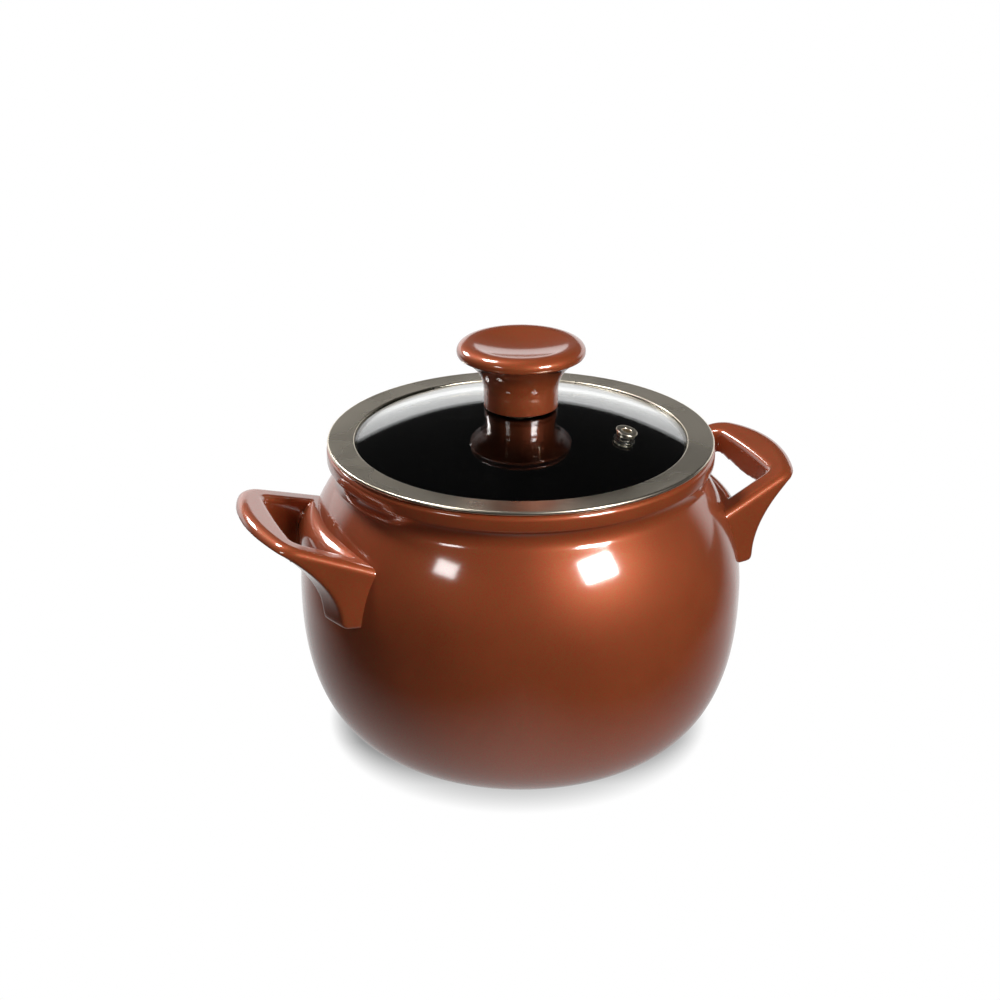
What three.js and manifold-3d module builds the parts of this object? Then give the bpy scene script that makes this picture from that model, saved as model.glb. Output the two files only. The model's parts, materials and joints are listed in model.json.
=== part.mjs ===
// Ball-shaped ceramic pot with two moulded loop handles and a domed glass lid.
// Millimetres, +Z up, origin at the centre of the flat base, handles along X.
import * as THREE from 'three';
import { mergeVertices } from 'three/addons/utils/BufferGeometryUtils.js';
import Module from 'manifold-3d';

const wasm = await Module();
wasm.setup();

// Vessel
const bellyRadius = 108.4;
const bellyHeight = 78;
const baseRadius = 60;
const shoulderCurve = 91;
const wall = 5.5;
const floorThickness = 7;
const neckRadius = 88.6;
const neckFillet = 9;
const neckWall = 4.4;
const neckRise = 5.3;
const lipOverhang = 4.8;
const lipStep = 1.6;
const lipHeight = 8;
const lipRound = 3;
const mouthRound = 1.2;
const bowlFullness = 2.4;

// Handles, measured on the handle's own middle line: out from the axis, across and up
const handleDrop = 17.4;
const handleTilt = 19.3;
const armSpread = 96;
const armTaper = 0.225;
const gripReach = 28.2;
const gripCurve = 88;
const gripCorner = 7;
const gripWidth = 14.8;
const armWidth = 11.8;
const openingCurve = 320;
const openingCorner = 4.5;
const handleRound = 3;
const lugDepth = 31.6;
const lugStandOff = 4.6;
const lugRound = 3;
const underKnee = 4;
const noseThickness = 6;
const railStandOff = 0.8;
const railShoulder = 14;
const archRadius = 38;
const archRise = 9.5;

// Lid
const bandWidth = 13;
const bandInset = 0.4;
const bandSheet = 0.6;
const bandHem = 2;
const bandReturn = 4;
const lidPlay = 1.5;
const glassThickness = 4;
const domeRadius = 205;

// Knob and its fixing
const knobDisc = 30.5;
const knobStem = 17.2;
const knobHeight = 29.8;
const stemHeight = 7;
const discEdge = 5.2;
const dishRadius = 26;
const dishDepth = 3;
const screwRadius = 2.5;
const screwReach = 10;
const headRadius = 5;
const headHeight = 2.6;
const bushWall = 2;
const bushLength = 13;
const washerRadius = 9;
const washerThickness = 1;
const gasketThickness = 0.6;
const gasketMargin = 1.4;
const glassHolePlay = 1;

// Steam vent
const ventOffset = 53.5;
const ventAngle = -45;
const ventTube = 3.5;
const ventBore = 2.2;
const ventCollar = 4.5;
const ventFlange = 5.2;
const ventCollarHeight = 1.4;
const ventFlangeHeight = 1.1;
const ventFlare = 0.9;

// Clearances between pieces
const lutingGap = 0.3;
const seatGap = 0.2;
const fit = 0.3;

// Facets
const roundSteps = 52;
const knobSteps = 36;
const smallSteps = 20;
const curveSteps = 6;

const copperGlaze = new THREE.MeshStandardMaterial({ color: 0x7a3a22, roughness: 0.22, metalness: 0.35 });
const steel = new THREE.MeshStandardMaterial({ color: 0x8f8b82, roughness: 0.3, metalness: 1 });
const clearGlass = new THREE.MeshStandardMaterial({
  color: 0xdfe6e4, roughness: 0.03, metalness: 0, transparent: true, opacity: 0.35,
});
const silicone = new THREE.MeshStandardMaterial({ color: 0x1b1a19, roughness: 0.7, metalness: 0 });
const brass = new THREE.MeshStandardMaterial({ color: 0xb08a4a, roughness: 0.35, metalness: 1 });

// Merge the corners that faces share and drop faces that close up on the axis.
function weld(geometry) {
  const bare = geometry.clone();
  bare.deleteAttribute('normal');
  bare.deleteAttribute('uv');
  const merged = mergeVertices(bare, 1e-4);
  const kept = [];
  const index = merged.index.array;
  for (let i = 0; i < index.length; i += 3) {
    const [a, b, c] = [index[i], index[i + 1], index[i + 2]];
    if (a !== b && b !== c && a !== c) kept.push(a, b, c);
  }
  merged.setIndex(kept);
  if (signedVolume(merged) < 0) {
    for (let i = 0; i < kept.length; i += 3) [kept[i], kept[i + 1]] = [kept[i + 1], kept[i]];
    merged.setIndex(kept);
  }
  return merged;
}

function signedVolume(geometry) {
  const place = geometry.attributes.position;
  const index = geometry.index.array;
  const [a, b, c] = [new THREE.Vector3(), new THREE.Vector3(), new THREE.Vector3()];
  let sum = 0;
  for (let i = 0; i < index.length; i += 3) {
    a.fromBufferAttribute(place, index[i]);
    b.fromBufferAttribute(place, index[i + 1]);
    c.fromBufferAttribute(place, index[i + 2]);
    sum += a.dot(b.cross(c)) / 6;
  }
  return sum;
}

function toSolid(geometry) {
  const welded = weld(geometry);
  return new wasm.Manifold(new wasm.Mesh({
    numProp: 3,
    vertProperties: new Float32Array(welded.attributes.position.array),
    triVerts: new Uint32Array(welded.index.array),
  }));
}

function toGeometry(solid) {
  const mesh = solid.getMesh();
  const geometry = new THREE.BufferGeometry();
  geometry.setAttribute('position', new THREE.BufferAttribute(new Float32Array(mesh.vertProperties), 3));
  geometry.setIndex(Array.from(mesh.triVerts));
  return geometry;
}

// Turn a profile of (radius, height) points round the Z axis.
function turn(points, steps = roundSteps) {
  const geometry = new THREE.LatheGeometry(points, steps);
  geometry.rotateX(Math.PI / 2);
  return weld(geometry);
}

function ring(points, steps = roundSteps) {
  return turn([...points, points[0].clone()], steps);
}

function at(radius, height) {
  return new THREE.Vector2(radius, height);
}

// Points of an elliptic arc between two angles in degrees.
function arc(centre, reachOut, reachUp, from, to, steps = curveSteps) {
  const curve = new THREE.EllipseCurve(
    centre.x, centre.y, reachOut, reachUp,
    THREE.MathUtils.degToRad(from), THREE.MathUtils.degToRad(to), to < from, 0,
  );
  return curve.getPoints(steps);
}

function part(name, geometry, material) {
  const mesh = new THREE.Mesh(geometry, material);
  mesh.name = name;
  return mesh;
}

// Vessel levels that follow from the sizes above
const shoulderCentre = at(bellyRadius - shoulderCurve, bellyHeight);
const filletSpan = shoulderCurve + neckFillet;
const filletOut = neckRadius + neckFillet - shoulderCentre.x;
const neckHeight = bellyHeight + Math.sqrt(filletSpan ** 2 - filletOut ** 2);
const shoulderEnd = THREE.MathUtils.radToDeg(Math.atan2(neckHeight - bellyHeight, filletOut));
const lipBottom = neckHeight + neckRise;
const rimTop = lipBottom + lipHeight;
const lipRadius = neckRadius + lipOverhang;
const mouthRadius = neckRadius - neckWall;

// Bowl from the belly down to the flat: a fuller curve than an ellipse.
function bowl(radius, floorHeight, steps) {
  const points = [];
  for (let i = 0; i <= steps; i += 1) {
    const angle = (i / steps) * Math.PI / 2;
    const out = Math.cos(angle) ** (2 / bowlFullness);
    const down = Math.sin(angle) ** (2 / bowlFullness);
    points.push(at(baseRadius + (radius - baseRadius) * out, bellyHeight - (bellyHeight - floorHeight) * down));
  }
  return points;
}

// Outside of the bowl and shoulder, set out by a clearance for whatever is luted onto it.
function shell(clearance) {
  const lower = bowl(bellyRadius + clearance, 0, 10).reverse();
  const curve = shoulderCurve + clearance;
  const upper = arc(shoulderCentre, curve, curve, 0, shoulderEnd, 7).slice(1);
  return [...lower, ...upper];
}

function vessel() {
  const filletCentre = at(neckRadius + neckFillet, neckHeight);
  const riseAngle = THREE.MathUtils.radToDeg(Math.asin(neckRise / neckFillet));
  const fillet = arc(filletCentre, neckFillet, neckFillet, 180 + shoulderEnd, 180 - riseAngle, 5).slice(1);
  const lipUnder = at(lipRadius - lipStep / 2, lipBottom + lipStep / 4);
  const lipSide = arc(at(lipRadius - lipRound, lipBottom + lipHeight / 2), lipRound, lipHeight / 2, -50, 75, 6);
  const lipTop = at(lipRadius - lipRound, rimTop);
  const mouth = arc(at(mouthRadius + mouthRound, rimTop - mouthRound), mouthRound, mouthRound, 90, 180, 2);
  const innerCurve = shoulderCurve - wall;
  const innerEnd = Math.acos((mouthRadius - shoulderCentre.x) / innerCurve);
  const inner = arc(shoulderCentre, innerCurve, innerCurve, THREE.MathUtils.radToDeg(innerEnd), 0, 5);
  const basin = bowl(bellyRadius - wall, floorThickness, 7).slice(1);
  return turn([
    at(0, 0), ...shell(0), ...fillet, lipUnder, ...lipSide.slice(1), lipTop, ...mouth, ...inner, ...basin,
    at(0, floorThickness),
  ]);
}

// Handle on the +X side, hung a set way below the neck. Outline points are (out, across) in plan.
const handleSeat = neckHeight - handleDrop;
const gripOut = bellyRadius + gripReach;
const seatRadius = shoulderCentre.x + Math.sqrt(shoulderCurve ** 2 - (handleSeat - bellyHeight) ** 2);

// Half width of the handle at a distance from the axis, on the outside of the arms.
function armEdge(out) {
  return armSpread / 2 - armTaper * (out - seatRadius * Math.cos(Math.asin(armSpread / 2 / seatRadius)));
}

// Where the tapering side line meets the arched end that reaches a distance from the axis.
function sideMeets(reach, curve, inset) {
  let across = armEdge(reach) - inset;
  let out = reach;
  for (let i = 0; i < 20; i += 1) {
    out = reach - curve + Math.sqrt(curve ** 2 - across ** 2);
    across = armEdge(out) - inset;
  }
  return at(out, across);
}

// Closed plan outline: straight tapering sides, an arched outer end and rounded corners.
function planOutline(reach, curve, inset, corner, root) {
  const centre = reach - curve;
  const meet = sideMeets(reach, curve, inset);
  const side = at(root, armEdge(root) - inset);
  const along = side.clone().sub(meet).normalize();
  const before = meet.clone().addScaledVector(along, corner);
  const swing = Math.atan2(meet.y, meet.x - centre) - corner / curve;
  const shape = new THREE.Shape();
  shape.moveTo(root, -side.y);
  shape.lineTo(before.x, -before.y);
  shape.quadraticCurveTo(meet.x, -meet.y, centre + curve * Math.cos(swing), -curve * Math.sin(swing));
  shape.absarc(centre, 0, curve, -swing, swing, false);
  shape.quadraticCurveTo(meet.x, meet.y, before.x, before.y);
  shape.lineTo(root, side.y);
  shape.closePath();
  return shape;
}

function upright(shape, from, to) {
  const geometry = new THREE.ExtrudeGeometry(shape, { depth: to - from, bevelEnabled: false, curveSegments: 7 });
  geometry.translate(0, 0, from);
  return toSolid(geometry);
}

function handle() {
  const tilt = THREE.MathUtils.degToRad(handleTilt);
  const lugBottom = handleSeat - lugDepth;
  const ceiling = handleSeat + gripOut;
  const root = seatRadius - wall - armSpread / 3;
  const outline = planOutline(gripOut, gripCurve, 0, gripCorner, root);

  // Block whose tilted top face is the flat of the handle, edges rounded over and sides square to that face.
  const slope = 1 / Math.cos(tilt);
  const drawn = outline.getPoints(7).map((p) => at((p.x - seatRadius) * slope, p.y));
  const slabDepth = handleSeat + gripOut;
  const slab = new THREE.ExtrudeGeometry(new THREE.Shape(drawn), {
    depth: slabDepth, bevelEnabled: true, bevelThickness: handleRound, bevelSize: handleRound,
    bevelOffset: -handleRound, bevelSegments: 3, curveSegments: 7,
  });
  slab.translate(0, 0, -slabDepth - handleRound);
  slab.rotateY(-tilt);
  slab.translate(seatRadius, 0, handleSeat);

  // Everything above the hollow underside, which sweeps from the lugs out to the nose of the grip.
  const underStart = bellyRadius + lugStandOff;
  const noseHeight = handleSeat + Math.tan(tilt) * (gripOut - seatRadius) - noseThickness;
  const foot = arc(at(underStart - lugRound, lugBottom + lugRound), lugRound, lugRound, -90, 0, 3);
  const underside = new THREE.QuadraticBezierCurve(
    at(underStart, lugBottom + lugRound), at(underStart, handleSeat - underKnee), at(gripOut, noseHeight),
  ).getPoints(9).slice(1);
  const far = gripOut + handleRound;
  const reach = turn([
    at(0, lugBottom), ...foot, ...underside, at(far, noseHeight), at(far, ceiling), at(0, ceiling),
  ]);
  const seat = turn([at(0, 0), ...shell(lutingGap), at(neckRadius, ceiling), at(0, ceiling)]);

  // Finger opening between the arms; the rail left against the shoulder has a rolled top.
  const openingPlan = planOutline(gripOut - gripWidth, openingCurve, armWidth, openingCorner, root);
  const opening = upright(openingPlan, lugBottom - wall, ceiling);
  const railRadius = bellyRadius + railStandOff;
  const railTop = arc(at(seatRadius, handleSeat - railShoulder), railRadius - seatRadius, railShoulder, 0, 90, 5);
  const rail = turn([at(0, 0), at(railRadius, 0), ...railTop, at(0, handleSeat)]);
  const arch = new THREE.CylinderGeometry(archRadius, archRadius, gripOut, 40);
  arch.rotateZ(Math.PI / 2);
  arch.translate(gripOut / 2, 0, lugBottom + archRise - archRadius);

  const body = toSolid(slab).intersect(toSolid(reach)).subtract(toSolid(seat));
  const opened = body.subtract(opening.subtract(toSolid(rail)));
  return weld(toGeometry(opened.subtract(toSolid(arch))));
}

// Lid levels, from the rim up
const bandRadius = lipRadius - bandInset;
const bandBottom = rimTop + seatGap;
const bandTop = bandBottom + bandHem;
const bandInner = bandRadius - bandWidth;
const channelRadius = mouthRadius - lidPlay;
const glassRadius = channelRadius - bandSheet - fit;
const domeCentre = bandTop - bandSheet - fit - Math.sqrt(domeRadius ** 2 - bandInner ** 2);
const domeInside = domeRadius - glassThickness;
const domeTop = domeCentre + domeRadius;
const glassHole = screwRadius + glassHolePlay;

// Height of a sphere about the dome's centre at a distance from the axis.
function domeAt(sphere, radius) {
  return domeCentre + Math.sqrt(sphere ** 2 - radius ** 2);
}

function domeCurve(sphere, from, to, steps) {
  const points = [];
  for (let i = 0; i <= steps; i += 1) {
    const radius = from + (to - from) * (i / steps);
    points.push(at(radius, domeAt(sphere, radius)));
  }
  return points;
}

const ventTurn = THREE.MathUtils.degToRad(ventAngle);
const ventLean = Math.asin(ventOffset / domeRadius);

// Group that stands on the dome at the vent, its Z square to the glass.
function onVent(...meshes) {
  const lean = new THREE.Group();
  lean.rotation.y = ventLean;
  lean.position.set(ventOffset, 0, domeAt(domeRadius, ventOffset));
  lean.add(...meshes);
  const round = new THREE.Group();
  round.rotation.z = ventTurn;
  round.add(lean);
  return round;
}

function lidGlass() {
  const pane = ring([
    ...domeCurve(domeRadius, glassHole, glassRadius, 7),
    ...domeCurve(domeInside, glassRadius, glassHole, 7),
  ]);
  const drill = new THREE.CylinderGeometry(ventTube + fit, ventTube + fit, glassThickness * 3, smallSteps);
  drill.rotateX(Math.PI / 2);
  drill.rotateY(ventLean);
  drill.translate(ventOffset, 0, domeAt(domeRadius, ventOffset));
  drill.rotateZ(ventTurn);
  return weld(toGeometry(toSolid(pane).subtract(toSolid(drill))));
}

function rimBand() {
  const half = bandHem / 2;
  const edge = arc(at(bandRadius - half, bandTop - half), half, half, 90, -90, 5);
  const returnTop = domeAt(domeInside, glassRadius) - fit;
  const returnBottom = returnTop - bandSheet;
  const returnInner = channelRadius - bandReturn;
  return ring([
    at(bandInner, bandTop - bandSheet / 2), at(bandInner + bandSheet / 2, bandTop), ...edge,
    at(channelRadius, bandBottom), at(channelRadius, returnBottom), at(returnInner, returnBottom),
    at(returnInner, returnTop), at(channelRadius - bandSheet, returnTop),
    at(channelRadius - bandSheet, bandTop - bandSheet), at(bandInner, bandTop - bandSheet),
  ]);
}

// Knob stack, from the glass up and from the glass down
const gasketTop = domeTop + seatGap + gasketThickness;
const knobFoot = gasketTop + seatGap;
const knobTop = knobFoot + knobHeight;
const bushBore = screwRadius + fit;
const bushRadius = bushBore + bushWall;
const bushHole = bushRadius + fit;
const lowerGasketRadius = washerRadius + gasketThickness;
const lowerGasketBottom = domeAt(domeInside, lowerGasketRadius) - seatGap - gasketThickness;
const washerTop = lowerGasketBottom - seatGap;
const headTop = washerTop - washerThickness - seatGap;

function knob() {
  const footRound = gasketMargin / 2;
  const half = discEdge / 2;
  const discLow = knobTop - discEdge;
  const flare = new THREE.QuadraticBezierCurve(
    at(knobStem, knobFoot + stemHeight),
    at(knobStem, knobFoot + stemHeight + (discLow - knobFoot - stemHeight) * 0.62),
    at(knobDisc - half / 2, discLow),
  ).getPoints(6);
  const edge = arc(at(knobDisc - half, knobTop - half), half, half, -50, 90, 5);
  const crown = at((knobDisc - half + dishRadius) / 2, knobTop);
  const dish = [];
  for (let i = 0; i <= 5; i += 1) {
    const radius = dishRadius * (1 - i / 5);
    dish.push(at(radius, knobTop - half / 6 - (dishDepth - half / 6) * (1 - (radius / dishRadius) ** 2)));
  }
  const top = knobFoot + bushLength + fit;
  return turn([
    at(0, top), at(bushHole, top), at(bushHole, knobFoot), at(knobStem - footRound, knobFoot),
    at(knobStem, knobFoot + footRound), ...flare, ...edge, crown, ...dish,
  ], knobSteps);
}

function knobBush() {
  return ring([
    at(bushBore, knobFoot), at(bushRadius, knobFoot), at(bushRadius, knobFoot + bushLength),
    at(bushBore, knobFoot + bushLength),
  ], smallSteps);
}

function knobScrew() {
  const end = knobFoot + screwReach;
  const bottom = headTop - headHeight;
  return turn([
    at(0, bottom), at(headRadius * 0.6, bottom), at(headRadius, bottom + headHeight * 0.55), at(headRadius, headTop),
    at(screwRadius, headTop), at(screwRadius, end - screwRadius / 3), at(screwRadius * 0.7, end), at(0, end),
  ], smallSteps);
}

function upperGasket() {
  const outer = knobStem - gasketMargin;
  return ring([
    ...domeCurve(domeRadius + seatGap, glassHole, outer, 3), at(outer, gasketTop), at(glassHole, gasketTop),
  ], knobSteps);
}

function lowerGasket() {
  return ring([
    at(glassHole, lowerGasketBottom), at(lowerGasketRadius, lowerGasketBottom),
    ...domeCurve(domeInside - seatGap, lowerGasketRadius, glassHole, 3),
  ], smallSteps);
}

function screwWasher() {
  const bottom = washerTop - washerThickness;
  return ring([
    at(bushBore, bottom), at(washerRadius, bottom), at(washerRadius, washerTop), at(bushBore, washerTop),
  ], smallSteps);
}

// Eyelet: tube through the glass, collar on it, rolled flange above and flared end below.
const ventWasherTop = -glassThickness - seatGap;
const ventFlareTop = ventWasherTop - washerThickness - seatGap;

function ventGrommet() {
  const collarTop = seatGap + ventCollarHeight;
  const flangeTop = collarTop + ventFlangeHeight;
  const half = ventFlangeHeight / 2;
  const rolled = arc(at(ventFlange - half, flangeTop - half), half, half, -90, 90, 4);
  const bottom = ventFlareTop - washerThickness;
  return ring([
    at(ventBore, bottom), at(ventTube + ventFlare, bottom), at(ventTube + ventFlare / 2, ventFlareTop),
    at(ventTube, ventFlareTop), at(ventTube, seatGap), at(ventCollar, seatGap), at(ventCollar, collarTop),
    ...rolled, at(ventTube, flangeTop - half), at(ventTube - half, flangeTop), at(ventBore, flangeTop - half),
  ], smallSteps);
}

function ventWasher() {
  const bottom = ventWasherTop - washerThickness;
  const bore = ventTube + seatGap;
  return ring([
    at(bore, bottom), at(ventFlange, bottom), at(ventFlange, ventWasherTop), at(bore, ventWasherTop),
  ], smallSteps);
}

const pot = new THREE.Group();
pot.add(part('pot_body', vessel(), copperGlaze));
const handleForm = handle();
pot.add(part('handle_right', handleForm, copperGlaze));
const handleLeft = part('handle_left', handleForm, copperGlaze);
handleLeft.rotation.z = Math.PI;
pot.add(handleLeft);

const lid = new THREE.Group();
lid.add(part('lid_glass', lidGlass(), clearGlass));
lid.add(part('lid_rim_band', rimBand(), steel));
lid.add(part('lid_knob', knob(), copperGlaze));
lid.add(part('knob_insert', knobBush(), brass));
lid.add(part('knob_screw', knobScrew(), steel));
lid.add(part('screw_washer', screwWasher(), steel));
lid.add(part('knob_gasket_upper', upperGasket(), silicone));
lid.add(part('knob_gasket_lower', lowerGasket(), silicone));
lid.add(onVent(part('vent_grommet', ventGrommet(), steel), part('vent_washer', ventWasher(), silicone)));

const ceramicPot = new THREE.Group();
ceramicPot.add(pot, lid);

export default ceramicPot;
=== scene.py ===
# Looks of the ball-shaped ceramic pot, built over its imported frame.
# Profiles are written in millimetres, as (radius, height), and become metres as they are turned.
import json
import math
import bmesh
import bpy
from mathutils import Matrix, Vector
from mathutils.geometry import interpolate_bezier


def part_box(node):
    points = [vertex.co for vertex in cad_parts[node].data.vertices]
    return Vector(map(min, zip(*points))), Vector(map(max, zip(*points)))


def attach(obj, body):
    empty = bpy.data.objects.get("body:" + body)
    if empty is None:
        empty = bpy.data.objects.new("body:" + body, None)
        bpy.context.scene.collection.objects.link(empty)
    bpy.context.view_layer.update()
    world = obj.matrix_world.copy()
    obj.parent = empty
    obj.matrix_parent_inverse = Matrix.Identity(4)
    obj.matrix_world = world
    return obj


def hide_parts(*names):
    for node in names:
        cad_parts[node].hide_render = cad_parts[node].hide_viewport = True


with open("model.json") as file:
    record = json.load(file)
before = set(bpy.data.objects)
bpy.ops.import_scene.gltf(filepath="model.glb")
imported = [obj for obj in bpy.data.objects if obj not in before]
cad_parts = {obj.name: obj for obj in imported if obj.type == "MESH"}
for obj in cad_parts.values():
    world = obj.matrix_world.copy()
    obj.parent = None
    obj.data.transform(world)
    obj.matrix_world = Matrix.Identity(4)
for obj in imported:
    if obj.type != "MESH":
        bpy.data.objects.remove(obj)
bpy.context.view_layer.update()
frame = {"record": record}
scene = bpy.context.scene
scene.view_settings.view_transform = "Standard"

mm = 0.001
upAxis = Vector((0, 0, 1))
record = frame["record"]
bodyOf = {node: body for body, nodes in record["behaviour"]["bodies"].items() for node in nodes}


def addNode(tree, kind, settings=None, inputs=None):  # inputs are plain values or sockets to link from
    made = tree.nodes.new(kind)
    for name, value in (settings or {}).items():
        setattr(made, name, value)
    for name, value in (inputs or {}).items():
        if isinstance(value, bpy.types.NodeSocket):
            tree.links.new(value, made.inputs[name])
        else:
            made.inputs[name].default_value = value
    return made


def addMath(tree, operation, first, second=0.0, clamp=False):
    settings = {"operation": operation, "use_clamp": clamp}
    return addNode(tree, "ShaderNodeMath", settings, {0: first, 1: second}).outputs[0]


def addDot(tree, first, second):
    settings = {"operation": "DOT_PRODUCT"}
    return addNode(tree, "ShaderNodeVectorMath", settings, {0: first, 1: second}).outputs["Value"]


def addRange(tree, value, low, high, toLow, toHigh, soft=False):
    kind = "SMOOTHSTEP" if soft else "LINEAR"
    ends = {"Value": value, "From Min": low, "From Max": high, "To Min": toLow, "To Max": toHigh}
    return addNode(tree, "ShaderNodeMapRange", {"interpolation_type": kind}, ends).outputs["Result"]


def mixColours(tree, factor, first, second):
    settings = {"data_type": "RGBA"}
    return addNode(tree, "ShaderNodeMix", settings, {0: factor, 6: first, 7: second}).outputs[2]


def mixValues(tree, factor, first, second):
    return addNode(tree, "ShaderNodeMix", None, {0: factor, 2: first, 3: second}).outputs[0]


def addNoise(tree, place, scale, detail=2.0, roughness=0.5):
    inputs = {"Vector": place, "Scale": scale, "Detail": detail, "Roughness": roughness}
    return addNode(tree, "ShaderNodeTexNoise", None, inputs).outputs["Fac"]


def newGroup(name, inputs, outputs):
    tree = bpy.data.node_groups.new(name, "ShaderNodeTree")
    sockets = tree.interface
    sockets.new_socket("Vector", in_out="INPUT", socket_type="NodeSocketVector")
    for label, value in inputs.items():
        sockets.new_socket(label, in_out="INPUT", socket_type="NodeSocketFloat").default_value = value
    for label in outputs:
        sockets.new_socket(label, in_out="OUTPUT", socket_type="NodeSocketFloat")
    return tree, addNode(tree, "NodeGroupInput").outputs, addNode(tree, "NodeGroupOutput").inputs


# Glaze: metallic flecks in the glass, slow clouds where it ran thick, and the ripple of its skin
def glazeSurfaceGroup():
    scales = {"Fleck Scale": 4500.0, "Cloud Scale": 24.0, "Ripple Scale": 150.0}
    tree, given, result = newGroup("glazeSurface", scales, ["Fleck", "Cloud", "Ripple"])
    place = given["Vector"]
    cells = addNode(tree, "ShaderNodeTexVoronoi", None, {"Vector": place, "Scale": given["Fleck Scale"]})
    tone = addNode(tree, "ShaderNodeSeparateColor", None, {"Color": cells.outputs["Color"]})
    cloud = addNoise(tree, place, given["Cloud Scale"], detail=3.0, roughness=0.55)
    ripple = addNoise(tree, place, given["Ripple Scale"], detail=1.0)
    tree.links.new(tone.outputs["Red"], result["Fleck"])
    tree.links.new(cloud, result["Cloud"])
    tree.links.new(ripple, result["Ripple"])
    return tree


# Marks that run round the axis, as a lathe or a polishing wheel leaves them
def turningMarksGroup():
    scales = {"Lines": 1800.0, "Drift": 26.0}
    tree, given, result = newGroup("turningMarks", scales, ["Line", "Drift"])
    place = given["Vector"]
    split = addNode(tree, "ShaderNodeSeparateXYZ", None, {"Vector": place}).outputs
    squares = [addMath(tree, "POWER", split[axis], 2.0) for axis in "XY"]
    radius = addMath(tree, "SQRT", addMath(tree, "ADD", *squares))
    across = addMath(tree, "ADD", radius, split["Z"])
    steps = addMath(tree, "MULTIPLY", across, given["Lines"])
    lines = addNode(
        tree, "ShaderNodeTexNoise", {"noise_dimensions": "1D"},
        {"W": steps, "Scale": 1.0, "Detail": 3.0, "Roughness": 0.7},
    )
    tree.links.new(lines.outputs["Fac"], result["Line"])
    tree.links.new(addNoise(tree, place, given["Drift"]), result["Drift"])
    return tree


glazeSurface = glazeSurfaceGroup()
turningMarks = turningMarksGroup()
noiseSpan = (0.3, 0.7)  # most values of a noise texture lie in it


def newLook(name):
    look = bpy.data.materials.new(name)
    look.use_nodes = True
    tree = look.node_tree
    place = addNode(tree, "ShaderNodeTexCoord").outputs["Object"]
    return look, tree, tree.nodes["Principled BSDF"], place


def useGroup(tree, group, place, scales=None):
    inputs = {"Vector": place, **(scales or {})}
    return addNode(tree, "ShaderNodeGroup", {"node_tree": group}, inputs).outputs


def setSockets(shader, values):
    for name, value in values.items():
        shader.inputs[name].default_value = value


def addColour(tree, shader, mask, first, second):
    tree.links.new(mixColours(tree, mask, first, second), shader.inputs["Base Color"])


def addRoughness(tree, shader, mask, span, roughness):
    tree.links.new(addRange(tree, mask, *span, *roughness), shader.inputs["Roughness"])


def addBump(tree, shader, height, distance, strength):
    inputs = {"Strength": strength, "Distance": distance, "Height": height}
    bump = addNode(tree, "ShaderNodeBump", None, inputs)
    tree.links.new(bump.outputs["Normal"], shader.inputs["Normal"])


copperSettings = {
    "deep": (0.32, 0.046, 0.0125, 1),
    "bright": (0.44, 0.075, 0.022, 1),
    "gold": (0.25, 0.092, 0.021, 1),
    "fleckTone": (-0.3, 0.3),
    "cloudTone": (0.3, 0.7),
    "goldShare": (0.66, 0.74),
    "roughness": (0.49, 0.59),
    "goldRoughness": 0.44,
    "ripple": (0.00002, 0.5),  # bump distance and strength
    "sockets": {
        "Metallic": 0.5, "Specular IOR Level": 0.3,
        "Coat Weight": 1.0, "Coat Roughness": 0.11, "Coat IOR": 1.9,
    },
}


def copperGlazeLook():
    s = copperSettings
    look, tree, shader, place = newLook("copperGlaze")
    surface = useGroup(tree, glazeSurface, place)
    fleck = addRange(tree, surface["Fleck"], 0.0, 1.0, *s["fleckTone"])
    cloud = addRange(tree, surface["Cloud"], *noiseSpan, *s["cloudTone"])
    tone = addMath(tree, "ADD", fleck, cloud, clamp=True)
    copper = mixColours(tree, tone, s["deep"], s["bright"])
    gold = addRange(tree, surface["Fleck"], *s["goldShare"], 0, 1)  # the smoothest flecks shine yellow
    addColour(tree, shader, gold, copper, s["gold"])
    rough = addRange(tree, surface["Cloud"], *noiseSpan, *s["roughness"])
    tree.links.new(mixValues(tree, gold, rough, s["goldRoughness"]), shader.inputs["Roughness"])
    addBump(tree, shader, surface["Ripple"], *s["ripple"])
    setSockets(shader, s["sockets"])
    return look


blackSettings = {
    "deep": (0.004, 0.0036, 0.0034, 1), "worn": (0.012, 0.010, 0.009, 1),
    "roughness": (0.16, 0.26), "ripple": (0.00003, 0.5),
}


def blackGlazeLook():
    s = blackSettings
    look, tree, shader, place = newLook("blackGlaze")
    surface = useGroup(tree, glazeSurface, place)
    addColour(tree, shader, surface["Cloud"], s["deep"], s["worn"])
    addRoughness(tree, shader, surface["Cloud"], noiseSpan, s["roughness"])
    addBump(tree, shader, surface["Ripple"], *s["ripple"])
    return look


claySettings = {
    "pale": (0.36, 0.22, 0.15, 1), "dark": (0.24, 0.13, 0.085, 1),
    "scales": {"Cloud Scale": 60.0, "Ripple Scale": 900.0},
    "roughness": (0.8, 0.95), "grain": (0.0001, 0.6),
}


def bareClayLook():
    s = claySettings
    look, tree, shader, place = newLook("bareClay")
    surface = useGroup(tree, glazeSurface, place, s["scales"])
    addColour(tree, shader, surface["Cloud"], s["dark"], s["pale"])
    addRoughness(tree, shader, surface["Fleck"], (0.0, 1.0), s["roughness"])
    addBump(tree, shader, surface["Ripple"], *s["grain"])
    return look


turnedSettings = {
    "satinSteel": {
        "shade": (0.76, 0.68, 0.545, 1), "light": (0.84, 0.755, 0.61, 1),
        "scales": {"Lines": 1800.0}, "roughness": (0.24, 0.32), "lines": (0.000008, 0.2),
    },
    "turnedBrass": {
        "shade": (0.50, 0.33, 0.12, 1), "light": (0.72, 0.53, 0.24, 1),
        "scales": {"Lines": 2600.0}, "roughness": (0.3, 0.42), "lines": (0.00003, 0.5),
    },
}


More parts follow.
